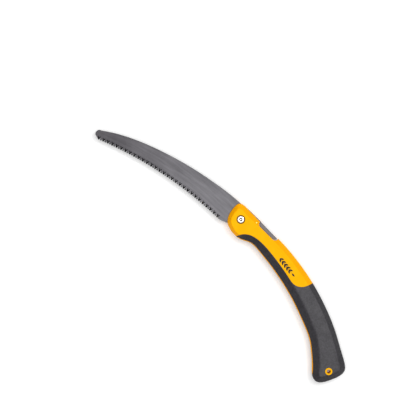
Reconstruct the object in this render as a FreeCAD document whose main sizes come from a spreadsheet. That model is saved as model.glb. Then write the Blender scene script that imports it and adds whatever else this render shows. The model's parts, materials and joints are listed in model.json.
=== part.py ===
import FreeCAD, Part
import math
import os

# Folding pruning saw, in millimetres. Shapes are drawn round the blade's pivot: +X runs to the blade's
# tip, +Y to its teeth, +Z out of the front face. At the end every sub-part is moved so that the origin
# is the middle of the saw's underside.

SIZES = {
    # Blade
    "blade_thickness": 1.5,
    "tooth_arc_radius": 586,
    "tooth_arc_x": 1.3,
    "tooth_arc_y": 608.5,
    "tooth_pitch": 3.6,
    "tooth_gaps": 59,
    "tooth_depth": 3.3,
    "tooth_flat": 2.2,
    "tooth_start_angle": 2.173,
    "facet_lean": 17.5,
    "facet_depth": 0.75,
    "facet_rise": 0.3,
    "facet_width": 1.9,
    "facet_length": 5.2,
    "tang_radius": 12.5,
    "fold_angle": 155,
    # Handle
    "half_thickness": 11,
    "wall_height": 4,
    "spine_radius": 366,
    "spine_depth": 20,
    "bend_x": -60.2,
    "bend_end_angle": 30,
    "width_front": 34,
    "width_growth": 6.3,
    "spine_bevel": 7,
    "belly_bevel": 11.8,
    "edge_round": 1.4,
    "slot_half": 1.5,
    "slot_room": 2,
    "slot_end_radius": 249.8,
    "past": 1,
    "pocket_near": 7.5,
    "pocket_far": 21,
    "pocket_first_angle": 4.5,
    "pocket_last_angle": 19.5,
    "pocket_height": 6,
    # Overmoulded grip
    "grip_thickness": 1.8,
    "grip_gap": 0.12,
    "grip_lip": 1.2,
    "grip_start": 0.3,
    # Blade pivot
    "bushing_radius": 4.9,
    "bushing_bore": 3,
    "running_gap": 0.05,
    "head_radius": 5.6,
    "head_room": 0.8,
    "seat_height": 7,
    "head_height": 3,
    "spring_washer_height": 0.8,
    "spring_washer_radius": 6.1,
    "socket_width": 5.2,
    "socket_depth": 1.8,
    "socket_post_radius": 0.8,
    "socket_post_sink": 0.3,
    "nut_width": 10,
    "nut_height": 3.6,
    "thrust_radius": 8.5,
    "thrust_height": 0.68,
    # Open stop
    "stop_x": 8.5,
    "stop_y": -14.5,
    "stop_radius": 1.5,
    "stop_half": 5,
    # Lock lever
    "lever_x": -19.3,
    "lever_y": -13,
    "lever_turn": 8,
    "lever_back": -18.4,
    "lever_back_slope": 0.028,
    "lever_floor": -14.9,
    "lever_front": 4.3,
    "lever_half": 2,
    "cheek_inside": 1.9,
    "cheek_half": 3.9,
    "cheek_radius": 4,
    "hook_tip": -13,
    "hook_clearance": 0.3,
    "pin_radius": 2,
    "pin_end": 7.4,
    "pin_tail_radius": 0.95,
    "pin_tail_end": 10.1,
    "room": 0.4,
    "pad_half": 6,
    "pad_back": -18.6,
    "pad_round": 1.1,
    # Lock spring
    "spring_x": -46,
    "spring_seat": -8.1,
    "spring_radius": 2.1,
    "spring_wire": 0.45,
    "spring_pitch": 1.13,
    "spring_turns": 4,
    # Handle screws
    "screw_inset": 14,
    "screw_radius": 1.4,
    "screw_head_radius": 3,
    "screw_head_height": 2.2,
    "screw_seat": -6.6,
    "screw_end": 6,
    "boss_radius": 4,
    # Hanging hole
    "hang_x": -249.2,
    "hang_y": 62,
    "hang_radius": 3,
    "hang_ring": 2.25,
    # Middle of the underside, found once all is built
    "origin_x": 0,
    "origin_y": 0,
    "origin_z": 0,
}

SIDES = {"front": 1, "rear": -1}
SCREW_ANGLES = (2, 8.5, 15, 22)
STATION_ANGLES = (0, 5, 10, 15, 20, 25)
OUTLINE_STEP = 8
FAR = 40
sub_parts = []

document = FreeCAD.newDocument("folding_saw")
sheet = document.addObject("Spreadsheet::Sheet", "sizes")
for row, (name, value) in enumerate(SIZES.items(), start=1):
    sheet.set("A%d" % row, name)
    sheet.set("B%d" % row, str(value))
    sheet.setAlias("B%d" % row, name)
document.recompute()


def size(name):
    return float(sheet.get(name))


# ---------------------------------------------------------------- drawing helpers

def point(x, y):
    return FreeCAD.Vector(x, y, 0)


def polar(radius, degrees):
    turn = math.radians(degrees)
    return point(radius * math.cos(turn), radius * math.sin(turn))


def turned_about(spot, centre, degrees):
    spin = FreeCAD.Rotation(FreeCAD.Vector(0, 0, 1), degrees)
    return centre + spin.multVec(spot - centre)


def toward(start, end, distance):
    """The point a distance from start, in the direction of end."""
    step = end - start
    return start + step * (distance / step.Length)


def line(start, end):
    return Part.LineSegment(start, end)


def arc(start, middle, end):
    return Part.Arc(start, middle, end)


def path(points):
    return [line(a, b) for a, b in zip(points, points[1:])]


def polygon(points):
    return path(list(points) + [points[0]])


def rectangle(x_low, x_high, y_low, y_high):
    return polygon([point(x_low, y_low), point(x_high, y_low), point(x_high, y_high), point(x_low, y_high)])


def sideways(points, distance):
    """The points moved to the left of the way they run."""
    moved = []
    for before, spot, after in zip(points[:1] + points[:-1], points, points[1:] + points[-1:]):
        along = (after - before).normalize()
        moved.append(spot + point(-along.y, along.x) * distance)
    return moved


def curve(points):
    """A smooth curve through all the points."""
    spline = Part.BSplineCurve()
    spline.interpolate(points)
    return spline


# ---------------------------------------------------------------- feature helpers

def bind(item, cells):
    for target, formula in cells.items():
        item.setExpression(target, formula)


def sketch(name, curves, height="0"):
    drawing = document.addObject("Sketcher::SketchObject", name)
    drawing.addGeometry(curves, False)
    bind(drawing, {"Placement.Base.z": height})
    return drawing


def prism(name, curves, low, high):
    """The solid between two heights over a closed outline."""
    solid = document.addObject("Part::Extrusion", name)
    solid.Base = sketch(name + "_outline", curves, low)
    solid.DirMode = "Normal"
    solid.Solid = True
    bind(solid, {"LengthFwd": "(%s) - (%s)" % (high, low)})
    return solid


def cylinder(name, x, y, radius, low, high):
    solid = document.addObject("Part::Cylinder", name)
    bind(solid, {
        "Radius": radius,
        "Height": "(%s) - (%s)" % (high, low),
        "Placement.Base.x": x,
        "Placement.Base.y": y,
        "Placement.Base.z": low,
    })
    return solid


def hexagon(name, width, low, high):
    solid = document.addObject("Part::Prism", name)
    solid.Polygon = 6
    bind(solid, {
        "Circumradius": "(%s) / 2 / cos(30 deg)" % width,
        "Height": "(%s) - (%s)" % (high, low),
        "Placement.Base.z": low,
    })
    return solid


def lathe(name, profile):
    """A solid of revolution about Z. The profile is drawn as radius and height."""
    drawing = document.addObject("Sketcher::SketchObject", name + "_profile")
    drawing.addGeometry(profile, False)
    drawing.Placement = FreeCAD.Placement(point(0, 0), FreeCAD.Rotation(FreeCAD.Vector(1, 0, 0), 90))
    solid = document.addObject("Part::Revolution", name)
    solid.Source = drawing
    solid.Axis = FreeCAD.Vector(0, 0, 1)
    solid.Angle = 360
    solid.Solid = True
    return solid


def fuse(name, pieces):
    if len(pieces) == 1:
        return pieces[0]
    joined = document.addObject("Part::MultiFuse", name)
    joined.Shapes = pieces
    joined.Refine = True
    return joined


def cut(name, base, tools):
    result = document.addObject("Part::Cut", name)
    result.Base = base
    result.Tool = fuse(name + "_tools", tools)
    result.Refine = True
    return result


def common(name, pieces):
    result = document.addObject("Part::MultiCommon", name)
    result.Shapes = pieces
    result.Refine = True
    return result


def finish(item, label, x="0", y="0", z="0"):
    """Name a sub-part and give it its place in the saw."""
    item.Label = label
    bind(item, {
        "Placement.Base.x": "sizes.origin_x + (%s)" % x,
        "Placement.Base.y": "sizes.origin_y + (%s)" % y,
        "Placement.Base.z": "sizes.origin_z + (%s)" % z,
    })
    sub_parts.append(item)


# ---------------------------------------------------------------- handle outline

def along_spine(degrees, inward):
    """A point round the handle's bend, some way inside its spine."""
    turn = math.radians(degrees)
    radius = size("spine_radius") - inward
    bend_y = size("spine_radius") - size("spine_depth")
    return point(size("bend_x") - radius * math.sin(turn), bend_y - radius * math.cos(turn))


def handle_width(degrees):
    part = degrees / size("bend_end_angle")
    return size("width_front") + size("width_growth") * (2 * part - part * part)


def spine_row(degrees):
    return along_spine(degrees, 0), along_spine(degrees, size("spine_bevel") + degrees / FAR)


def belly_row(degrees):
    width = handle_width(degrees)
    return along_spine(degrees, width), along_spine(degrees, width - size("belly_bevel"))


def rows(pairs):
    return [(point(*outer), point(*flat)) for outer, flat in pairs]


# Each row is a point of the outer edge and the matching point of the flat face's edge. They run from
# the spine round the nose, back along the belly, round the butt and forward along the spine.
NOSE_ROWS = rows([
    ((-40, -19.2), (-40, -12.3)),
    ((-18, -18.4), (-18, -11.4)),
    ((3, -18), (2, -10.9)),
    ((13, -17.5), (10.2, -10.8)),
    ((18.4, -14.4), (13.2, -8.6)),
    ((19.8, -6.8), (13.6, -3.6)),
    ((18.9, 0.9), (12.8, 2)),
    ((16.9, 7.8), (11.2, 7.4)),
    ((13.6, 13.7), (8.6, 11.6)),
    ((9.4, 17.7), (4.6, 14.6)),
    ((3.8, 20.2), (-0.5, 16.4)),
    ((-2.8, 21.8), (-6.4, 17.6)),
    ((-9.6, 22.2), (-11.6, 17.8)),
    ((-16.5, 21.7), (-15.8, 16)),
    ((-23.2, 19.5), (-19.6, 11)),
    ((-29.6, 16), (-25, 6.8)),
    ((-36.8, 13.4), (-33, 3.7)),
    ((-47, 13), (-45, 2)),
])
BUTT_ROWS = rows([
    ((-211.5, 60.6), (-217, 50.4)),
    ((-222.4, 69.6), (-229.5, 60.6)),
    ((-231.6, 78.4), (-238.5, 70.2)),
    ((-239, 84.4), (-242.6, 75)),
    ((-248, 85.6), (-246.6, 76.4)),
    ((-255.4, 79.4), (-249.6, 72.6)),
    ((-261.8, 67), (-255.2, 62)),
    ((-266, 54.6), (-258.6, 52.4)),
    ((-265.2, 43.8), (-257.4, 46.6)),
    ((-257.6, 36.8), (-251, 43.2)),
])
BELLY_ROWS = [belly_row(angle) for angle in STATION_ANGLES]
SPINE_ROWS = [spine_row(angle) for angle in reversed(STATION_ANGLES + (30,))]
HANDLE_ROWS = NOSE_ROWS + BELLY_ROWS + BUTT_ROWS + SPINE_ROWS


def row_stops():
    """How far round the outer edge each row lies, so that all outlines match row by row."""
    outer = [row[0] for row in HANDLE_ROWS]
    stops = [0]
    for start, end in zip(outer, outer[1:] + outer[:1]):
        stops.append(stops[-1] + start.distanceToPoint(end))
    return stops


def section(height, inset, bevel_share):
    """One closed outline of the handle, drawn in from its outer edge towards its flat face's edge."""
    points = []
    for outer, flat in HANDLE_ROWS:
        bevel = flat - outer
        inward = FreeCAD.Vector(bevel).normalize()
        points.append(outer + bevel * bevel_share + inward * inset + FreeCAD.Vector(0, 0, height))
    stops = row_stops()
    loop = Part.BSplineCurve()
    loop.interpolate(Points=points, PeriodicFlag=True, Parameters=stops)
    cuts = stops[::OUTLINE_STEP] + [stops[-1]]
    return [loop.toShape(first, last) for first, last in zip(cuts, cuts[1:])]


def skinned(name, side, profile):
    """A solid whose skin runs straight from each outline of the handle to the next, row by row."""
    levels = [section(side * height, inset, bevel_share) for height, inset, bevel_share in profile]
    faces = [Part.Face(Part.Wire(levels[0])), Part.Face(Part.Wire(levels[-1]))]
    for lower, upper in zip(levels, levels[1:]):
        faces += [Part.makeRuledSurface(start, end) for start, end in zip(lower, upper)]
    skin = Part.makeShell(faces)
    skin.sewShape()
    solid = Part.makeSolid(skin)
    if solid.Volume < 0:
        solid.reverse()
    item = document.addObject("Part::Feature", name)
    item.Shape = solid
    return item


def envelope(name, side):
    """Half of the handle's outside shape, with its two long edges rounded off."""
    soft, wall, top = size("edge_round"), size("wall_height"), size("half_thickness")
    share = 0.6 * soft / (top - wall)
    return skinned(name, side, [
        (0, 0, 0),
        (wall - soft, 0, 0),
        (wall - 0.1 * soft, 0.2 * soft, 0),
        (wall + 0.6 * soft, 0, share),
        (top - 0.6 * soft, 0, 1 - share),
        (top - 0.2 * soft, 0, 1),
        (top, soft, 1),
    ])


def core(name, side, inset):
    """The hard middle of half a handle, an inset inside its outside shape."""
    wall, top = size("wall_height"), size("half_thickness")
    return skinned(name, side, [(0, inset, 0), (wall - 0.4 * inset, inset, 0), (top - inset, inset, 1)])


# ---------------------------------------------------------------- grip and slot outlines

def lip_point(row):
    return toward(row[0], row[1], size("grip_lip"))


def grip_outline(widen):
    """The grip's area from above: a band along the belly that takes in the whole butt."""
    seam_front = [point(-12.8, 24.5), point(-14.3, 19.2), point(-17, 14)]
    bevel_edge = [row[1] for row in NOSE_ROWS[-4:]] + [belly_row(angle)[1] for angle in (0, 4, 8.5)]
    seam_rear = [point(-119.8, 10.4), point(-126, 9.3), point(-131.3, 6.2), point(-135.3, 1.8),
                 point(-138, -4), point(-140.7, -11.4), point(-143.2, -22)]
    seam = sideways(seam_front + bevel_edge + seam_rear, widen)
    lip_rows = BUTT_ROWS[2::-1] + BELLY_ROWS[::-1] + NOSE_ROWS[:-6:-1]
    lip = sideways([point(-236, 120)] + [lip_point(row) for row in lip_rows], widen)
    around_butt = path([seam[-1], point(-290, -40), point(-290, 120), lip[0]])
    return [curve(seam)] + around_butt + [curve(lip), line(lip[-1], seam[0])]


def tooth_centre():
    return point(size("tooth_arc_x"), size("tooth_arc_y"))


def folded(spot):
    return turned_about(spot, point(0, 0), size("fold_angle"))


def slot_outline():
    """Where the blade goes between the shells: open at the nose and all along the belly."""
    centre = folded(tooth_centre())
    radius = size("tooth_arc_radius") - size("slot_room")
    tooth_line = [centre + polar(radius, angle) for angle in (67.9, 78, 88.4)]
    end_radius = size("slot_end_radius")
    end_line = [polar(end_radius, angle) for angle in (169.8, 163, 157)]
    front = [end_line[-1], point(FAR, 98), point(FAR, -25), point(9.7, -25), point(9.7, -11.5),
             point(7, -13.3), point(-3, -13.3), point(-12, -14.6), point(-36, -14.6), tooth_line[0]]
    return [arc(*tooth_line), line(tooth_line[-1], end_line[0]), arc(*end_line)] + path(front)


# ---------------------------------------------------------------- shells and grips

def lever_hollow(name, side):
    """Room for the lock lever and its spring in one shell: hook, cheeks, thumb pad and spring."""
    hook_end = size("lever_front") + 2 * size("room")
    hook_room = polygon([
        point(-15, -25), point(hook_end, -25), point(hook_end, -9.4), point(-3.9, -9.4),
        point(-3.9, -12.3), point(-15, -12.8),
    ])
    pad_room = [
        line(point(-59.6, -25), point(-58.9, -17.8)),
        arc(point(-58.9, -17.8), point(-56.4, -14.3), point(-52.2, -13.1)),
        line(point(-52.2, -13.1), point(-28, -12.6)),
        arc(point(-28, -12.6), point(-24.1, -13.8), point(-22.5, -17)),
        line(point(-22.5, -17), point(-22.2, -25)),
        line(point(-22.2, -25), point(-59.6, -25)),
    ]
    spring_side = size("spring_radius") + 2 * size("room")
    spring_room = rectangle(size("spring_x") - spring_side, size("spring_x") + spring_side,
                            size("spring_seat") - 7, size("spring_seat"))
    cheek_room = rectangle(-24.6, -13.4, -25, -13)
    cheek_top = "sizes.cheek_half + sizes.room"
    spans = [
        ("hook", hook_room, "sizes.lever_half + sizes.room"),
        ("pad", pad_room, "sizes.half_thickness + sizes.past"),
        ("spring", spring_room, "sizes.spring_radius + 2 * sizes.room"),
        ("cheek", cheek_room, cheek_top),
    ]
    pieces = [prism(name + "_" + part, outline, *side_span(side, "-sizes.past", top))
              for part, outline, top in spans]
    pieces.append(cylinder(name + "_boss", "sizes.lever_x", "sizes.lever_y",
                           "sizes.cheek_radius + sizes.room",
                           *side_span(side, "-sizes.past", cheek_top)))
    pieces.append(cylinder(name + "_bearing", "sizes.lever_x", "sizes.lever_y",
                           "sizes.pin_radius + sizes.running_gap",
                           *side_span(side, "-sizes.past", "sizes.pin_end + 0.1")))
    pieces.append(cylinder(name + "_pin_tail", "sizes.lever_x", "sizes.lever_y",
                           "sizes.pin_tail_radius + sizes.running_gap",
                           *side_span(side, "sizes.pin_end", "sizes.half_thickness + sizes.past")))
    return pieces


def side_span(side, near, far):
    """Low and high for a span that runs outwards from the parting plane, on either side."""
    if side > 0:
        return near, far
    return "-(%s)" % far, "-(%s)" % near


def weight_pocket(name, side):
    """The moulded hollow between the spine and the slot, with its two screw posts left standing."""
    near, far = size("pocket_near"), size("pocket_far")
    first, last = size("pocket_first_angle"), size("pocket_last_angle")
    middle = (first + last) / 2
    outline = [
        arc(along_spine(first, near), along_spine(middle, near), along_spine(last, near)),
        line(along_spine(last, near), along_spine(last, far)),
        arc(along_spine(last, far), along_spine(middle, far), along_spine(first, far)),
        line(along_spine(first, far), along_spine(first, near)),
    ]
    span = side_span(side, "-sizes.past", "sizes.pocket_height")
    posts = []
    for angle in SCREW_ANGLES[1:3]:
        spot = along_spine(angle, size("screw_inset"))
        posts.append(cylinder("%s_post" % name, str(spot.x), str(spot.y), "sizes.boss_radius", *span))
    return cut(name, prism(name + "_area", outline, *span), posts)


def screw_holes(name, side):
    """Pilot holes in the front half, clearance holes and head seats in the rear half."""
    holes = []
    for angle in SCREW_ANGLES:
        spot = along_spine(angle, size("screw_inset"))
        x, y = str(spot.x), str(spot.y)
        if side > 0:
            holes.append(cylinder(name + "_pilot", x, y, "sizes.screw_radius + sizes.running_gap",
                                  "-1", "sizes.screw_end + 0.5"))
        else:
            holes.append(cylinder(name + "_hole", x, y, "sizes.screw_radius + 0.15",
                                  "-sizes.half_thickness - sizes.past", "sizes.past"))
            holes.append(cylinder(name + "_seat", x, y, "sizes.screw_head_radius + 0.4",
                                  "-sizes.half_thickness - sizes.past", "sizes.screw_seat"))
    return holes


def pivot_holes(name, side):
    """The bushing's bore and the seat for the screw head in front or for the nut behind."""
    bore = cylinder(name + "_bore", "0", "0", "sizes.bushing_radius + sizes.running_gap",
                    *side_span(side, "-sizes.past", "sizes.half_thickness + sizes.past"))
    if side > 0:
        seat = cylinder(name + "_seat", "0", "0", "sizes.head_radius + sizes.head_room",
                        "sizes.seat_height", "sizes.half_thickness + sizes.past")
    else:
        seat = hexagon(name + "_seat", "(sizes.nut_width + 0.3)", "-sizes.half_thickness - sizes.past",
                       "-sizes.seat_height + 0.2")
    return [bore, seat]


def handle_half(word, side):
    """One shell and its grip."""
    outside = envelope(word + "_outside", side)
    grip_core = core(word + "_core", side, size("grip_thickness"))
    inner_core = core(word + "_inner_core", side, size("grip_thickness") + size("grip_gap"))
    grip_span = side_span(side, "sizes.grip_start", "sizes.half_thickness + sizes.past")
    bed_span = side_span(side, "sizes.grip_start - sizes.grip_gap", "sizes.half_thickness + sizes.past")
    area_block = prism(word + "_grip_block", grip_outline(0), *grip_span)
    wider_block = prism(word + "_wider_block", grip_outline(size("grip_gap")), *bed_span)
    screws = screw_holes(word + "_screw", side)
    ring = cylinder(word + "_ring_hole", "sizes.hang_x", "sizes.hang_y",
                    "sizes.hang_radius + sizes.hang_ring",
                    *side_span(side, "0", "sizes.half_thickness + sizes.past"))
    hole = cylinder(word + "_hang_hole", "sizes.hang_x", "sizes.hang_y", "sizes.hang_radius",
                    *side_span(side, "-sizes.past", "sizes.half_thickness + sizes.past"))
    slot = prism(word + "_slot", slot_outline(), *side_span(side, "-sizes.past", "sizes.slot_half"))
    stop = cylinder(word + "_stop_hole", "sizes.stop_x", "sizes.stop_y", "sizes.stop_radius + 0.02",
                    *side_span(side, "-sizes.past", "sizes.stop_half + 0.1"))

    grip_bed = cut(word + "_grip_bed", wider_block, [inner_core, ring])
    tools = [grip_bed, slot, stop, hole, weight_pocket(word + "_pocket", side)]
    tools += screws + pivot_holes(word + "_pivot", side) + lever_hollow(word + "_lever", side)
    shell = cut(word + "_shell", outside, tools)
    finish(shell, word + "_shell")

    grip_block = common(word + "_grip_skin", [outside, area_block])
    ring_gap = cylinder(word + "_ring_gap", "sizes.hang_x", "sizes.hang_y",
                        "sizes.hang_radius + sizes.hang_ring + sizes.grip_gap",
                        *side_span(side, "0", "sizes.half_thickness + sizes.past"))
    grip = cut(word + "_grip", grip_block, [grip_core, ring_gap, slot] + screws)
    finish(grip, word + "_grip")


# ---------------------------------------------------------------- blade

def body(name):
    return document.addObject("PartDesign::Body", name)


def body_sketch(owner, name, curves, place=None):
    """A sketch on the body's own XY plane, or moved and turned from there to a place."""
    drawing = owner.newObject("Sketcher::SketchObject", name)
    plane = [item for item in owner.Origin.OriginFeatures if item.Role == "XY_Plane"][0]
    drawing.AttachmentSupport = (plane, [""])
    drawing.MapMode = "FlatFace"
    drawing.AttachmentOffset = place or FreeCAD.Placement()
    drawing.addGeometry(curves, False)
    return drawing


def through(owner, name, curves, place=None):
    """Cut a shape right through the blade."""
    pocket = owner.newObject("PartDesign::Pocket", name)
    pocket.Profile = body_sketch(owner, name + "_outline", curves, place)
    pocket.SideType = "Symmetric"
    bind(pocket, {"Length": "4 * sizes.blade_thickness"})
    return pocket


def tooth_point(degrees, depth):
    """A point on the toothed edge, or some way below its tips. Angles run from the heel to the tip."""
    return tooth_centre() + polar(size("tooth_arc_radius") + depth, degrees - 90)


def pitch_angle():
    return math.degrees(size("tooth_pitch") / size("tooth_arc_radius"))


def blade_outline():
    tang = size("tang_radius")
    heel = size("tooth_start_angle")
    tip = heel + size("tooth_gaps") * pitch_angle()
    shoulder = size("stop_x") + size("stop_radius") + size("running_gap")
    back = [point(shoulder + 1.5, -16.6), point(36, -14.5), point(65.2, -9.7), point(106.6, -0.5),
            point(157.7, 15.8), point(204.4, 36.4), point(235.9, 56.4)]
    gullet_angles = [heel + (number + 0.5) * pitch_angle() for number in range(SIZES["tooth_gaps"])]
    tooth_line = [tooth_point(angle, 0) for angle in [tip] + gullet_angles[::-1] + [heel]]
    ricasso = [tooth_line[-1], point(16.5, 20.9), point(10.5, 17.9), polar(tang, 95)]
    end_cut = [point(240.1, 63.6), point(238.9, 65.9), point(236.6, 67.2)]
    tang_foot = -math.degrees(math.acos((shoulder - 0.6) / tang))
    root = [polar(tang, tang_foot), point(shoulder, -10.5), point(shoulder, -15.4), back[0]]
    return (
        [curve(back), arc(back[-1], point(239.9, 59.7), end_cut[0]), arc(*end_cut)]
        + path(end_cut[-1:] + tooth_line + ricasso[1:])
        + [arc(polar(tang, 95), polar(tang, 200), polar(tang, tang_foot))]
        + path(root)
    )


def hook_outline(grow):
    """The lock lever's hook as it lies when released. grow widens it for the notch it drops into."""
    tip = size("hook_tip") + grow
    floor = size("lever_floor") - 3 * grow
    return [point(-2.2 - grow, tip), point(-3 - grow, floor), point(4 + grow, floor), point(3.2 + grow, tip)]


def notch_outline(blade_angle):
    """The hook turned into the tang, seen from a blade that is folded by an angle."""
    lever = point(size("lever_x"), size("lever_y"))
    locked = [turned_about(spot, lever, size("lever_turn")) for spot in hook_outline(size("hook_clearance"))]
    return polygon([turned_about(spot, point(0, 0), -blade_angle) for spot in locked])


def facet(owner, name, degrees, lean, side):
    """One ground facet: a groove in a face of the blade that is deepest at the tooth tips."""
    inward, along, up = polar(1, degrees - 90), polar(1, degrees), FreeCAD.Vector(0, 0, side)
    turn = math.radians(lean * size("facet_lean"))
    run = inward * math.cos(turn) + along * math.sin(turn)
    start = tooth_centre() + inward * size("tooth_arc_radius") + up * (size("blade_thickness") / 2)
    depth, width = size("facet_depth"), size("facet_width")
    groove = owner.newObject("PartDesign::Pocket", name)
    profile = polygon([point(0, -depth), point(width, depth), point(-width, depth)])
    place = FreeCAD.Placement(start, FreeCAD.Rotation(run.cross(up), up, run * -1, "ZYX"))
    groove.Profile = body_sketch(owner, name + "_profile", profile, place)
    groove.SideType = "Symmetric"
    groove.UseCustomVector = True
    groove.Direction = run + up * (size("facet_rise") / size("facet_length"))
    bind(groove, {"Length": "2 * sizes.facet_length"})
    return groove


def gullets(owner, name, number, side):
    """Every other gap between teeth. The tooth after each has two facets that fork on one face."""
    first = size("tooth_start_angle") + (number + 0.5) * pitch_angle()
    half = pitch_angle() / 2
    flat = half * size("tooth_flat") / size("tooth_pitch")
    radius = size("tooth_arc_radius")
    outside, bottom = radius - 1, radius + size("tooth_depth")
    corners = [polar(outside, first - 90 - half - flat), polar(radius, first - 90 - half + flat),
               polar(bottom, first - 90), polar(radius, first - 90 + half - flat),
               polar(outside, first - 90 + half + flat)]
    gap = through(owner, name, polygon(corners), FreeCAD.Placement(tooth_centre(), FreeCAD.Rotation()))
    left = facet(owner, name + "_left_facet", first + half, -1, side)
    right = facet(owner, name + "_right_facet", first + half, 1, side)
    pattern = owner.newObject("PartDesign::PolarPattern", name + "_row")
    pattern.Originals = [gap, left, right]
    pattern.Axis = (gap.Profile[0], ["N_Axis"])
    pattern.Mode = "Extent"
    count = "floor((sizes.tooth_gaps + 1 - %d) / 2)" % number
    bind(pattern, {
        "Occurrences": count,
        "Angle": "(%s - 1) * 2 * sizes.tooth_pitch / sizes.tooth_arc_radius * 180deg / pi" % count,
    })
    owner.Tip = pattern
    return pattern


def saw_blade():
    blade = body("blade")
    plate = blade.newObject("PartDesign::Pad", "plate")
    plate.Profile = body_sketch(blade, "plate_outline", blade_outline())
    plate.SideType = "Symmetric"
    bind(plate, {"Length": "sizes.blade_thickness"})
    bore = Part.Circle(point(0, 0), FreeCAD.Vector(0, 0, 1), size("bushing_radius") + size("running_gap"))
    through(blade, "bore", [bore])
    through(blade, "open_notch", notch_outline(0))
    through(blade, "folded_notch", notch_outline(size("fold_angle")))
    gullets(blade, "front_gullet", 0, 1)
    gullets(blade, "rear_gullet", 1, -1)
    finish(blade, "blade")


# ---------------------------------------------------------------- lock lever

def lever_back(x):
    """The height of the lever's back, which stands a little proud of the handle's spine."""
    return size("lever_back") + (x - size("lever_front")) * size("lever_back_slope")


def lock_lever():
    """A rocker: a hook in front of its pins, two cheeks on them, and a tongue for the thumb pad."""
    front, floor = size("lever_front"), size("lever_floor")
    hook = hook_outline(0)
    bar = [point(front, lever_back(front)), point(front, floor - 0.6), hook[2], hook[3], hook[0], hook[1],
           point(-54, floor), point(-54, floor - 1.4), point(-24, floor - 1.4), point(-24, lever_back(-24))]
    web = [point(-24, lever_back(-24)), point(-14.6, lever_back(-14.6)), point(-14.6, floor),
           point(-24, floor)]
    pieces = [
        prism("lever_bar", polygon(bar), "-sizes.lever_half", "sizes.lever_half"),
        prism("lever_web", polygon(web), "-sizes.cheek_half", "sizes.cheek_half"),
        cylinder("lever_cheeks", "sizes.lever_x", "sizes.lever_y", "sizes.cheek_radius",
                 "-sizes.cheek_half", "sizes.cheek_half"),
    ]
    gap = prism("lever_gap", rectangle(-26, -12, floor, -5), "-sizes.cheek_inside", "sizes.cheek_inside")
    holes = cylinder("lever_holes", "sizes.lever_x", "sizes.lever_y", "sizes.pin_radius + 0.01",
                     str(-FAR), str(FAR))
    finish(cut("lever", fuse("lever_blank", pieces), [gap, holes]), "lock_lever")


def thumb_pad():
    """The grey pad moulded on the lever's tongue, rounded where the thumb presses."""
    back = size("pad_back")
    outline = [
        arc(point(-23.6, back), point(-25, -14.8), point(-28.4, -13.1)),
        line(point(-28.4, -13.1), point(-52, -13.7)),
        arc(point(-52, -13.7), point(-55.6, -14.8), point(-57.9, back)),
        line(point(-57.9, back), point(-23.6, back)),
    ]
    block = prism("pad_block", outline, "-sizes.pad_half", "sizes.pad_half")
    document.recompute()
    rounding = size("pad_round")
    edges = [(number, rounding, rounding) for number, edge in enumerate(block.Shape.Edges, start=1)
             if edge.BoundBox.YLength < 0.01 and edge.BoundBox.XLength > 20]
    soft = document.addObject("Part::Fillet", "pad_soft")
    soft.Base = block
    soft.Edges = edges
    floor = size("lever_floor")
    tongue = prism("pad_tongue_room", rectangle(-54.05, -20, floor - 1.45, floor + 0.05),
                   "-sizes.lever_half - 0.05", "sizes.lever_half + 0.05")
    web = prism("pad_web_room", rectangle(-24.05, -20, -20, floor + 0.05),
                "-sizes.cheek_half - 0.05", "sizes.cheek_half + 0.05")
    finish(cut("pad", soft, [tongue, web]), "thumb_pad")


def lever_pin(word, side):
    """A brass pin from a cheek of the lever into its bearing in a shell, with a thin tail to the face."""
    radius, tail = size("pin_radius"), size("pin_tail_radius")
    inside, end, tail_end = size("cheek_inside") + 0.1, size("pin_end"), size("pin_tail_end")
    steps = [(0, inside), (radius, inside), (radius, end - 0.4), (radius - 0.4, end), (tail, end),
             (tail, tail_end - 0.3), (tail - 0.3, tail_end), (0, tail_end)]
    profile = polygon([point(x, side * height) for x, height in steps])
    finish(lathe(word + "_lever_pin_solid", profile), word + "_lever_pin", "sizes.lever_x", "sizes.lever_y")


def lock_spring():
    """A coil spring under the thumb pad. It stands on its seat and pushes towards the spine."""
    coil = document.addObject("Part::Helix", "spring_coil")
    bind(coil, {
        "Radius": "sizes.spring_radius",
        "Pitch": "sizes.spring_pitch",
        "Height": "sizes.spring_pitch * sizes.spring_turns",
    })
    # One face for each turn
    coil.SegmentLength = 1
    wire = document.addObject("Part::Circle", "spring_wire_section")
    wire.Placement = FreeCAD.Placement(point(0, 0), FreeCAD.Rotation(FreeCAD.Vector(1, 0, 0), 90))
    bind(wire, {"Radius": "sizes.spring_wire", "Placement.Base.x": "sizes.spring_radius"})
    sweep = document.addObject("Part::Sweep", "spring_sweep")
    sweep.Sections = [wire]
    sweep.Spine = (coil, [])
    sweep.Solid = True
    sweep.Frenet = True
    sweep.Placement = FreeCAD.Placement(point(0, 0), FreeCAD.Rotation(FreeCAD.Vector(1, 0, 0), 90))
    finish(sweep, "lock_spring", "sizes.spring_x", "sizes.spring_seat - sizes.spring_wire - 0.05")


# ---------------------------------------------------------------- pivot and fasteners

def ring(name, outer, inner, low, high):
    blank = cylinder(name + "_blank", "0", "0", outer, low, high)
    return cut(name + "_ring", blank, [cylinder(name + "_hole", "0", "0", inner, low, high)])


def button_head(radius, seat, height, shaft, end):
    """Profile of a screw with a domed head over its seat and a shaft down to its end."""
    edge = 0.45 * height
    return [
        line(point(0, end), point(shaft, end)),
        line(point(shaft, end), point(shaft, seat)),
        line(point(shaft, seat), point(radius, seat)),
        line(point(radius, seat), point(radius, seat + edge)),
        arc(point(radius, seat + edge), point(0.87 * radius, seat + 0.85 * height),
            point(0.55 * radius, seat + height)),
        line(point(0.55 * radius, seat + height), point(0, seat + height)),
        line(point(0, seat + height), point(0, end)),
    ]


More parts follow.
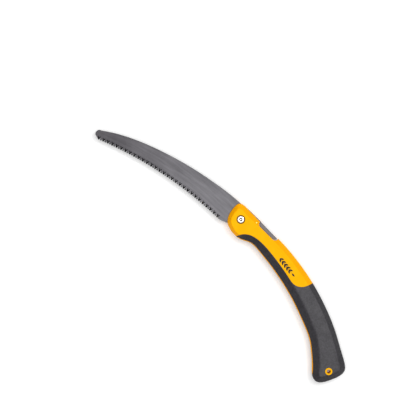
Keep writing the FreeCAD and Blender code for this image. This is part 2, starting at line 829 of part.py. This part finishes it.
def pivot_group():
    seat = size("seat_height") + size("spring_washer_height") + 0.1
    shaft = size("bushing_bore") - size("running_gap")
    profile = button_head(size("head_radius"), seat, size("head_height"), shaft, -10)
    screw = lathe("pivot_screw_blank", profile)
    top = str(seat + size("head_height"))
    floor = "%s - sizes.socket_depth" % top
    recess = hexagon("socket_recess", "sizes.socket_width", floor, "%s + 1" % top)
    post = cylinder("socket_post", "0", "0", "sizes.socket_post_radius", floor + " - 1",
                    "%s - sizes.socket_post_sink" % top)
    socket = cut("pivot_socket", recess, [post])
    finish(cut("pivot_screw_solid", screw, [socket]), "pivot_screw")

    nut = hexagon("nut_blank", "sizes.nut_width", "-sizes.seat_height + 0.15 - sizes.nut_height",
                  "-sizes.seat_height + 0.15")
    thread = cylinder("nut_thread", "0", "0", "sizes.bushing_bore - 0.02", str(-FAR), str(FAR))
    finish(cut("nut_solid", nut, [thread]), "pivot_nut")

    bushing = ring("bushing", "sizes.bushing_radius", "sizes.bushing_bore", "-sizes.seat_height + 0.25",
                   "sizes.seat_height - 0.05")
    finish(bushing, "pivot_bushing")

    spring = ring("split", "sizes.spring_washer_radius", "sizes.bushing_bore + 0.1",
                  "sizes.seat_height + 0.05", "sizes.seat_height + 0.05 + sizes.spring_washer_height")
    gap = prism("split_gap", rectangle(0, FAR, -0.4, 0.4), "sizes.seat_height", "sizes.half_thickness")
    finish(cut("split_washer", spring, [gap]), "spring_washer")

    for word, side in SIDES.items():
        near = "sizes.blade_thickness / 2 + 0.03"
        span = side_span(side, near, near + " + sizes.thrust_height")
        washer = ring(word + "_thrust", "sizes.thrust_radius", "sizes.bushing_radius + 0.1", *span)
        finish(washer, word + "_thrust_washer")


def stop_pin():
    radius, end = size("stop_radius"), size("stop_half")
    profile = polygon([point(0, -end), point(radius - 0.3, -end), point(radius, 0.3 - end),
                       point(radius, end - 0.3), point(radius - 0.3, end), point(0, end)])
    finish(lathe("stop_pin_solid", profile), "blade_stop_pin", "sizes.stop_x", "sizes.stop_y")


def handle_screws():
    seat, height, radius = size("screw_seat"), size("screw_head_height"), size("screw_head_radius")
    for number, angle in enumerate(SCREW_ANGLES, start=1):
        spot = along_spine(angle, size("screw_inset"))
        name = "handle_screw_%d" % number
        profile = button_head(radius, -seat, height, size("screw_radius"), -size("screw_end"))
        screw = lathe(name + "_blank", profile)
        top = str(height - seat)
        socket = hexagon(name + "_socket", "2.5", "%s - 1.2" % top, "%s + 1" % top)
        solid = cut(name + "_solid", screw, [socket])
        solid.Placement = FreeCAD.Placement(point(0, 0), FreeCAD.Rotation(FreeCAD.Vector(1, 0, 0), 180))
        finish(solid, name, str(spot.x), str(spot.y))


# ---------------------------------------------------------------- build and write

def move_origin():
    """Put the origin at the middle of the saw's underside."""
    box = FreeCAD.BoundBox()
    for item in sub_parts:
        box.add(item.Shape.BoundBox)
    sheet.set(sheet.getCellFromAlias("origin_x"), str(round(-box.Center.x, 3)))
    sheet.set(sheet.getCellFromAlias("origin_y"), str(round(-box.Center.y, 3)))
    sheet.set(sheet.getCellFromAlias("origin_z"), str(round(-box.ZMin, 3)))
    document.recompute()


def check_and_write():
    os.makedirs("parts", exist_ok=True)
    for item in document.Objects:
        if "Invalid" in item.State or "Error" in item.State:
            raise RuntimeError("%s did not build" % item.Label)
    for item in sub_parts:
        if item.Shape.isNull() or not item.Shape.isValid() or len(item.Shape.Solids) != 1:
            raise RuntimeError("%s is not one valid solid" % item.Label)
        item.Shape.exportStep("parts/%s.step" % item.Label)


saw_blade()
for word, side in SIDES.items():
    handle_half(word, side)
    lever_pin(word, side)
lock_lever()
thumb_pad()
lock_spring()
pivot_group()
stop_pin()
handle_screws()
document.recompute()
move_origin()
check_and_write()
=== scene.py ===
import bpy
import json
import math
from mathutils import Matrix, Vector


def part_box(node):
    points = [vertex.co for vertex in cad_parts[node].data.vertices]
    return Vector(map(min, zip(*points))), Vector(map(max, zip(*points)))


# Looks for the folding pruning saw. Lengths are in metres, in the saw's own frame: +X towards the
# blade's tip, +Y the way the teeth face, +Z out of the front face. Colours are linear.

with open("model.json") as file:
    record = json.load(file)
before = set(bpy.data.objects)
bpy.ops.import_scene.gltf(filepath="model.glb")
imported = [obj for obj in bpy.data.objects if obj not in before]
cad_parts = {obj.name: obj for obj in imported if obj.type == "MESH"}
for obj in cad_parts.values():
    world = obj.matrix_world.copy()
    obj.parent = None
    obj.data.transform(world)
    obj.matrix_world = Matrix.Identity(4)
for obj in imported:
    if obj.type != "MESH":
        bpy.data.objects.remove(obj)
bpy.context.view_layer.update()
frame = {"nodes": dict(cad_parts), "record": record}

MM = 0.001


def middle(node):
    low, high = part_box(node)
    return (low + high) / 2


# Driving dimensions, taken from the frame where it has them
PIVOT = middle("pivot_bushing")
FRONT_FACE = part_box("front_shell")[1].z
TOOTH_RADIUS = 586 * MM
TOOTH_CENTRE = PIVOT + Vector((1.3, 608.5, 0)) * MM
TOOTH_SPAN = 212 * MM
PICTURE_WIDTH = 590 * MM
PICTURE_CENTRE = PIVOT + Vector((62, 23.2, 0)) * MM
CAMERA_HEIGHT = 2.5
SENSOR_WIDTH = 36
SAW_TURN = math.radians(134)
SURROUNDINGS_STRENGTH = 0.36


# ---------------------------------------------------------------- building shaders

class Finish:
    """One material, put together from shader nodes."""

    def __init__(self, name, metallic=0.0):
        self.material = bpy.data.materials.new(name)
        self.material.use_nodes = True
        self.tree = self.material.node_tree
        self.surface = self.tree.nodes["Principled BSDF"]
        self.place = self.add("ShaderNodeTexCoord").outputs["Object"]
        self.set("Metallic", metallic)

    def add(self, kind, **settings):
        node = self.tree.nodes.new(kind)
        for name, value in settings.items():
            setattr(node, name, value)
        return node

    def feed(self, socket, value):
        if isinstance(value, bpy.types.NodeSocket):
            self.tree.links.new(value, socket)
        else:
            socket.default_value = value

    def set(self, name, value):
        self.feed(self.surface.inputs[name], value)

    def maths(self, operation, *values):
        node = self.add("ShaderNodeMath", operation=operation)
        for socket, value in zip(node.inputs, values):
            self.feed(socket, value)
        return node.outputs["Value"]

    def vector(self, operation, *values):
        node = self.add("ShaderNodeVectorMath", operation=operation)
        for socket, value in zip(node.inputs, values):
            self.feed(socket, value)
        return node.outputs["Vector"]

    def split(self, vector):
        node = self.add("ShaderNodeSeparateXYZ")
        self.feed(node.inputs["Vector"], vector)
        return node.outputs

    def join(self, x, y, z):
        node = self.add("ShaderNodeCombineXYZ")
        for socket, value in zip(node.inputs, (x, y, z)):
            self.feed(socket, value)
        return node.outputs["Vector"]

    def spread(self, value, low, high, to_low, to_high):
        """The value's range low..high mapped onto to_low..to_high, and held at its ends."""
        node = self.add("ShaderNodeMapRange", interpolation_type="SMOOTHSTEP")
        for socket, number in zip(node.inputs, (value, low, high, to_low, to_high)):
            self.feed(socket, number)
        return node.outputs["Result"]

    def tilt(self):
        """How far the surface lies from upright or level: 0 on level faces, 1 on walls."""
        normal = self.add("ShaderNodeNewGeometry").outputs["True Normal"]
        upward = self.split(normal)["Z"]
        return self.maths("SUBTRACT", 1.0, self.maths("ABSOLUTE", upward))

    def noise(self, vector, size, detail=3.0, roughness=0.55):
        """Noise whose lumps are about as large as size."""
        node = self.add("ShaderNodeTexNoise")
        self.feed(node.inputs["Vector"], vector)
        self.feed(node.inputs["Scale"], 1 / size)
        self.feed(node.inputs["Detail"], detail)
        self.feed(node.inputs["Roughness"], roughness)
        return node.outputs["Fac"]

    def cells(self, vector, size):
        """Distance to the nearest of many scattered points that are about a size apart."""
        node = self.add("ShaderNodeTexVoronoi")
        self.feed(node.inputs["Vector"], vector)
        self.feed(node.inputs["Scale"], 1 / size)
        return node.outputs["Distance"]

    def mix(self, share, start, end):
        node = self.add("ShaderNodeMix", data_type="RGBA")
        self.feed(node.inputs[0], share)
        self.feed(node.inputs[6], start)
        self.feed(node.inputs[7], end)
        return node.outputs[2]

    def relief(self, height, depth, edge=0.0):
        """Raise the surface by height, which runs 0..1, times depth, and soften edges by a radius."""
        bump = self.add("ShaderNodeBump")
        self.feed(bump.inputs["Distance"], depth)
        self.feed(bump.inputs["Height"], height)
        if edge:
            bevel = self.add("ShaderNodeBevel", samples=6)
            self.feed(bevel.inputs["Radius"], edge)
            self.feed(bump.inputs["Normal"], bevel.outputs["Normal"])
        self.set("Normal", bump.outputs["Normal"])


def shade(colour, factor):
    """The colour made darker, or lighter with a factor over 1."""
    return [part * factor for part in colour[:3]] + [1.0]


def round_axis(finish, centre):
    """Distance from an upright axis, angle round it and height, at each point of the surface."""
    offset = finish.vector("SUBTRACT", finish.place, centre)
    x, y, z = finish.split(offset)
    squares = finish.maths("ADD", finish.maths("MULTIPLY", x, x), finish.maths("MULTIPLY", y, y))
    angle = finish.maths("ARCTAN2", x, finish.maths("MULTIPLY", y, -1.0))
    return finish.maths("SQRT", squares), angle, z


# ---------------------------------------------------------------- materials

def blade_steel():
    """Satin ground plate with grain along the blade, a darker hardened band at the teeth, a painted
    reflection that darkens the plate from heel to tip, and painted shade on the tilted tooth facets.
    """
    heel = (0.106, 0.103, 0.111, 1.0)
    tip = (0.056, 0.053, 0.058, 1.0)
    facet_painted_shade = (0.03, 0.028, 0.033, 1.0)
    grain_squeeze = 0.02
    streak_squeeze = 0.06
    plain_heel_start = 18 * MM
    plain_heel_end = 24 * MM
    band_wander = 1.5 * MM
    finish = Finish("blade_steel", metallic=1.0)
    distance, angle, z = round_axis(finish, TOOTH_CENTRE)
    depth = finish.maths("SUBTRACT", distance, TOOTH_RADIUS)
    along = finish.maths("MULTIPLY", angle, TOOTH_RADIUS)
    grain_place = finish.join(depth, finish.maths("MULTIPLY", along, grain_squeeze), z)
    grain = finish.noise(grain_place, 0.35 * MM, detail=4.0)
    streak_place = finish.join(depth, finish.maths("MULTIPLY", along, streak_squeeze), z)
    streaks = finish.noise(streak_place, 3 * MM)
    clouds = finish.noise(finish.place, 22 * MM)
    # Painted reflection: the plate's colour runs from the lighter heel colour to the darker tip colour along
    # the teeth.
    towards_tip = finish.spread(along, 0.3 * TOOTH_SPAN, 1.05 * TOOTH_SPAN, 0.0, 1.0)
    colour = finish.mix(towards_tip, heel, tip)
    worn = finish.maths("ADD", finish.maths("MULTIPLY", grain, 0.5), finish.maths("MULTIPLY", streaks, 0.5))
    colour = finish.mix(finish.spread(worn, 0.3, 0.7, 0.0, 0.35), colour, shade(tip, 0.7))
    colour = finish.mix(finish.spread(clouds, 0.35, 0.7, 0.0, 0.18), colour, shade(heel, 1.25))
    wavy = finish.maths("ADD", depth, finish.maths("MULTIPLY", clouds, band_wander))
    beyond_heel = finish.spread(along, plain_heel_start, plain_heel_end, 0.0, 1.0)
    hardened = finish.maths("MULTIPLY", finish.spread(wavy, 1.5 * MM, 6 * MM, 0.3, 0.0), beyond_heel)
    colour = finish.mix(hardened, colour, shade(tip, 0.7))
    # Painted shade: faces tilted off the plate, short of walls, take the dark facet colour, standing in for
    # the dark surroundings they reflect.
    slope = finish.tilt()
    off_face = finish.spread(slope, 0.04, 0.12, 0.0, 1.0)
    not_wall = finish.spread(slope, 0.6, 0.8, 1.0, 0.0)
    colour = finish.mix(finish.maths("MULTIPLY", off_face, not_wall), colour, facet_painted_shade)
    finish.set("Base Color", colour)
    finish.set("Roughness", finish.spread(worn, 0.3, 0.75, 0.34, 0.5))
    finish.set("Anisotropic", 0.4)
    finish.relief(grain, 0.02 * MM, edge=0.15 * MM)
    return finish.material


def lever_steel():
    """Dark phosphated steel, slightly mottled."""
    dark = (0.1, 0.098, 0.105, 1.0)
    pale = (0.17, 0.165, 0.175, 1.0)
    finish = Finish("lever_steel", metallic=1.0)
    mottle = finish.noise(finish.place, 1.2 * MM, detail=5.0)
    finish.set("Base Color", finish.mix(mottle, dark, pale))
    finish.set("Roughness", finish.spread(mottle, 0.3, 0.7, 0.4, 0.6))
    finish.relief(mottle, 0.02 * MM, edge=0.25 * MM)
    return finish.material


def metal(name, colour, roughness, grain_size):
    """Plain bright metal with fine grain and faint handling marks."""
    finish = Finish(name, metallic=1.0)
    grain = finish.noise(finish.place, grain_size, detail=4.0)
    marks = finish.noise(finish.place, 12 * grain_size)
    handled = finish.spread(marks, 0.4, 0.7, 0.0, 1.0)
    finish.set("Base Color", finish.mix(handled, colour, shade(colour, 0.8)))
    finish.set("Roughness", finish.spread(grain, 0.3, 0.7, 0.8 * roughness, 1.3 * roughness))
    finish.relief(grain, 0.05 * grain_size, edge=0.2 * MM)
    return finish.material


def bright_screw():
    """Polished screw with fine turning rings round the pivot, and painted shade in its socket."""
    bright = (0.92, 0.9, 0.87, 1.0)
    dull = (0.8, 0.78, 0.75, 1.0)
    socket_painted_shade = (0.03, 0.029, 0.03, 1.0)
    socket_reach = 2.8 * MM
    head_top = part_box("pivot_screw")[1].z
    finish = Finish("bright_screw", metallic=1.0)
    distance, _, z = round_axis(finish, PIVOT)
    rings = finish.noise(finish.join(distance, z, 0.0), 0.25 * MM)
    spots = finish.noise(finish.place, 1.5 * MM)
    # Painted shade: the socket, below the head's top and near the axis, is coloured dark.
    height = finish.split(finish.place)["Z"]
    sunk = finish.spread(height, head_top - 0.9 * MM, head_top - 0.3 * MM, 1.0, 0.0)
    in_socket = finish.maths("MULTIPLY", sunk, finish.maths("LESS_THAN", distance, socket_reach))
    finish.set("Base Color", finish.mix(in_socket, finish.mix(spots, bright, dull), socket_painted_shade))
    finish.set("Roughness", finish.spread(rings, 0.3, 0.7, 0.1, 0.24))
    finish.relief(rings, 0.012 * MM, edge=0.25 * MM)
    return finish.material


def plastic(name, colour, bevel, wall, roughness, sheen_size):
    """Satin moulded plastic: fine texture, slight cloudiness, and painted shade on slopes and walls, given
    as other colours there.
    """
    black = (0, 0, 0, 1)
    cloudiness = 0.08
    finish = Finish(name)
    slope = finish.tilt()
    # Painted shade: slopes take the bevel colour and walls the wall colour, by how far the surface tilts.
    colour = finish.mix(finish.spread(slope, 0.01, 0.06, 0.0, 1.0), colour, bevel)
    colour = finish.mix(finish.spread(slope, 0.5, 0.95, 0.0, 1.0), colour, wall)
    texture = finish.noise(finish.place, 0.28 * MM, detail=3.0)
    clouds = finish.noise(finish.place, sheen_size)
    specks = finish.spread(finish.cells(finish.place, 1.9 * MM), 0.06, 0.14, 0.3, 0.0)
    tone = finish.maths("ADD", finish.spread(clouds, 0.35, 0.7, 0.0, 0.7), specks)
    finish.set("Base Color", finish.mix(finish.maths("MULTIPLY", tone, cloudiness), colour, black))
    finish.set("Roughness", finish.spread(clouds, 0.3, 0.7, roughness, roughness + 0.14))
    finish.set("Specular IOR Level", 0.04)
    finish.relief(texture, 0.03 * MM, edge=0.35 * MM)
    return finish


def leaf_share(finish, spot, length, width, turn):
    """1 inside one pointed leaf of the printed mark, 0 outside."""
    mapping = finish.add("ShaderNodeMapping", vector_type="TEXTURE")
    finish.feed(mapping.inputs["Vector"], finish.place)
    finish.feed(mapping.inputs["Location"], spot)
    finish.feed(mapping.inputs["Rotation"], (0, 0, turn))
    finish.feed(mapping.inputs["Scale"], (length / 2, width / 2, 1))
    x, y, _ = finish.split(mapping.outputs["Vector"])
    half_width = finish.maths("SUBTRACT", 1.0, finish.maths("MULTIPLY", x, x))
    inside = finish.maths("SUBTRACT", half_width, finish.maths("ABSOLUTE", y))
    return finish.maths("GREATER_THAN", inside, 0.0)


def printed_sprig(finish):
    """1 on a small printed sprig of leaves on the flat of the front shell, 0 elsewhere."""
    start = PIVOT + Vector((-79, -1.9, 0)) * MM
    end = PIVOT + Vector((-111.5, 1.4, 0)) * MM
    run = end - start
    lean = math.atan2(run.y, run.x)
    leaf_pairs = 5
    leaf_length = 6.4 * MM
    leaf_width = 2.5 * MM
    leaf_lean = math.radians(32)
    first_pair = 0.05
    leafy_share = 0.8
    stem_length = 1.04 * run.length
    stem_width = 0.7 * MM
    share = leaf_share(finish, (start + end) / 2, stem_length, stem_width, lean)
    for pair in range(leaf_pairs):
        foot = start + run * (first_pair + leafy_share * pair / leaf_pairs)
        for side in (-1, 1):
            turn = lean + side * leaf_lean
            centre = foot + Vector((math.cos(turn), math.sin(turn), 0)) * leaf_length / 2
            share = finish.maths("MAXIMUM", share, leaf_share(finish, centre, leaf_length, leaf_width, turn))
    tip_leaf = leaf_share(finish, end, leaf_length, leaf_width, lean)
    share = finish.maths("MAXIMUM", share, tip_leaf)
    height = finish.split(finish.place)["Z"]
    on_face = finish.maths("GREATER_THAN", height, FRONT_FACE - 0.5 * MM)
    worn = finish.spread(finish.noise(finish.place, 0.5 * MM), 0.25, 0.4, 0.6, 1.0)
    return finish.maths("MULTIPLY", finish.maths("MULTIPLY", share, on_face), worn)


def yellow_plastic():
    """Yellow glass-filled nylon with a dark printed sprig."""
    colour = (0.95, 0.47, 0.0, 1.0)
    # Painted shade: the bevel and wall colours are shaded copies of the yellow for its slopes and walls.
    bevel = (0.97, 0.402, 0.0, 1.0)
    wall = (0.82, 0.36, 0.015, 1.0)
    ink = (0.03, 0.027, 0.03, 1.0)
    finish = plastic("yellow_plastic", colour, bevel, wall, 0.42, 14 * MM)
    plain = finish.surface.inputs["Base Color"].links[0].from_socket
    finish.set("Base Color", finish.mix(printed_sprig(finish), plain, ink))
    return finish.material


def grey_plastic():
    colour = (0.195, 0.188, 0.2, 1.0)
    # Painted shade: the darker copies of the colour go on slopes and walls.
    return plastic("grey_plastic", colour, shade(colour, 0.75), shade(colour, 0.7), 0.45, 5 * MM).material


def washer_plastic():
    colour = (0.7, 0.69, 0.66, 1.0)
    # Painted shade: a darker copy of the colour goes on the walls.
    return plastic("washer_plastic", colour, colour, shade(colour, 0.9), 0.4, 4 * MM).material


def black_rubber():
    """Soft grip: close dark grain with tiny sparkles, rubbed smoother in patches, and painted shade on
    slopes, where the pale specks are weakened.
    """
    dark = (0.0095, 0.0088, 0.011, 1.0)
    pale = (0.051, 0.045, 0.058, 1.0)
    finish = Finish("black_rubber")
    grain = finish.noise(finish.place, 0.5 * MM, detail=5.0, roughness=0.7)
    pits = finish.cells(finish.place, 0.7 * MM)
    rubbed = finish.noise(finish.place, 18 * MM)
    mottle = finish.noise(finish.place, 2.6 * MM)
    fine_specks = finish.spread(grain, 0.42, 0.72, 0.0, 0.7)
    broad_specks = finish.spread(mottle, 0.35, 0.65, 0.0, 0.36)
    speckle = finish.maths("ADD", fine_specks, broad_specks)
    # Painted shade: on slopes the pale specks are cut to 55 percent, so slopes read darker than the flat.
    on_flat = finish.spread(finish.tilt(), 0.05, 0.2, 1.0, 0.55)
    finish.set("Base Color", finish.mix(finish.maths("MULTIPLY", speckle, on_flat), dark, pale))
    finish.set("Roughness", finish.spread(rubbed, 0.35, 0.7, 0.52, 0.42))
    finish.set("Specular IOR Level", 0.5)
    height = finish.maths("ADD", finish.maths("MULTIPLY", grain, 0.6), finish.maths("MULTIPLY", pits, 0.4))
    finish.relief(height, 0.22 * MM, edge=0.4 * MM)
    return finish.material


MATERIALS = {
    "blade_steel": blade_steel(),
    "lever_steel": lever_steel(),
    "grey_plastic": grey_plastic(),
    "pin_brass": metal("pin_brass", (0.95, 0.66, 0.16, 1.0), 0.2, 0.3 * MM),
    "pin_steel": metal("pin_steel", (0.55, 0.55, 0.56, 1.0), 0.22, 0.3 * MM),
    "yellow_plastic": yellow_plastic(),
    "black_rubber": black_rubber(),
    "bright_screw": bright_screw(),
    "dark_steel": metal("dark_steel", (0.07, 0.065, 0.06, 1.0), 0.4, 0.3 * MM),
    "zinc_steel": metal("zinc_steel", (0.62, 0.62, 0.64, 1.0), 0.3, 0.4 * MM),
    "washer_plastic": washer_plastic(),
    "spring_steel": metal("spring_steel", (0.42, 0.42, 0.44, 1.0), 0.28, 0.2 * MM),
}

for part in frame["record"]["subparts"]:
    for slot in frame["nodes"][part["node"]].material_slots:
        slot.material = MATERIALS[part["material_slot"]]


# ---------------------------------------------------------------- floor, light and camera

def pale_floor():
    """A broad pale sheet just under the saw, see-through from beneath."""
    half = 6.0
    top = -0.1 * MM
    darker = (0.9, 0.9, 0.9, 1.0)
    lighter = (0.93, 0.93, 0.93, 1.0)
    corners = [(-half, -half, top), (half, -half, top), (half, half, top), (-half, half, top)]
    mesh = bpy.data.meshes.new("floor")
    mesh.from_pydata(corners, [], [(0, 1, 2, 3)])
    floor = bpy.data.objects.new("floor", mesh)
    bpy.context.scene.collection.objects.link(floor)
    finish = Finish("floor_paper")
    fibres = finish.noise(finish.place, 2 * MM)
    finish.set("Base Color", finish.mix(fibres, darker, lighter))
    finish.set("Roughness", 0.9)
    finish.set("Specular IOR Level", 0.1)
    finish.set("Emission Color", (1.0, 1.0, 1.0, 1.0))
    finish.set("Emission Strength", 0.14)
    clear = finish.add("ShaderNodeBsdfTransparent").outputs["BSDF"]
    from_beneath = finish.add("ShaderNodeNewGeometry").outputs["Backfacing"]
    either = finish.add("ShaderNodeMixShader")
    finish.feed(either.inputs[0], from_beneath)
    finish.feed(either.inputs[1], finish.surface.outputs["BSDF"])
    finish.feed(either.inputs[2], clear)
    finish.feed(finish.tree.nodes["Material Output"].inputs["Surface"], either.outputs["Shader"])
    mesh.materials.append(finish.material)


def softbox(name, place, aim, width, power):
    light = bpy.data.lights.new(name, "AREA")
    light.shape = "SQUARE"
    light.size = width
    light.energy = power
    holder = bpy.data.objects.new(name, light)
    holder.location = place
    holder.rotation_euler = (aim - place).to_track_quat("-Z", "Y").to_euler()
    bpy.context.scene.collection.objects.link(holder)


def surroundings(strength):
    world = bpy.data.worlds.new("studio")
    world.use_nodes = True
    background = world.node_tree.nodes["Background"]
    background.inputs["Color"].default_value = (1, 1, 1, 1)
    background.inputs["Strength"].default_value = strength
    bpy.context.scene.world = world


def top_camera():
    """Straight above the saw, turned as in the picture."""
    camera = bpy.data.cameras.new("camera")
    camera.sensor_width = SENSOR_WIDTH
    camera.lens = SENSOR_WIDTH * CAMERA_HEIGHT / PICTURE_WIDTH
    holder = bpy.data.objects.new("camera", camera)
    holder.location = (PICTURE_CENTRE.x, PICTURE_CENTRE.y, CAMERA_HEIGHT)
    holder.rotation_euler = (0, 0, -SAW_TURN)
    bpy.context.scene.collection.objects.link(holder)
    bpy.context.scene.camera = holder


pale_floor()
surroundings(SURROUNDINGS_STRENGTH)
softbox("overhead", PIVOT + Vector((0, 0, 3.2)), PIVOT, width=3.0, power=72)
softbox("key", PIVOT + Vector((-0.25, -1.3, 2.1)), PIVOT, width=0.9, power=17)
top_camera()
bpy.context.scene.view_settings.view_transform = "Standard"
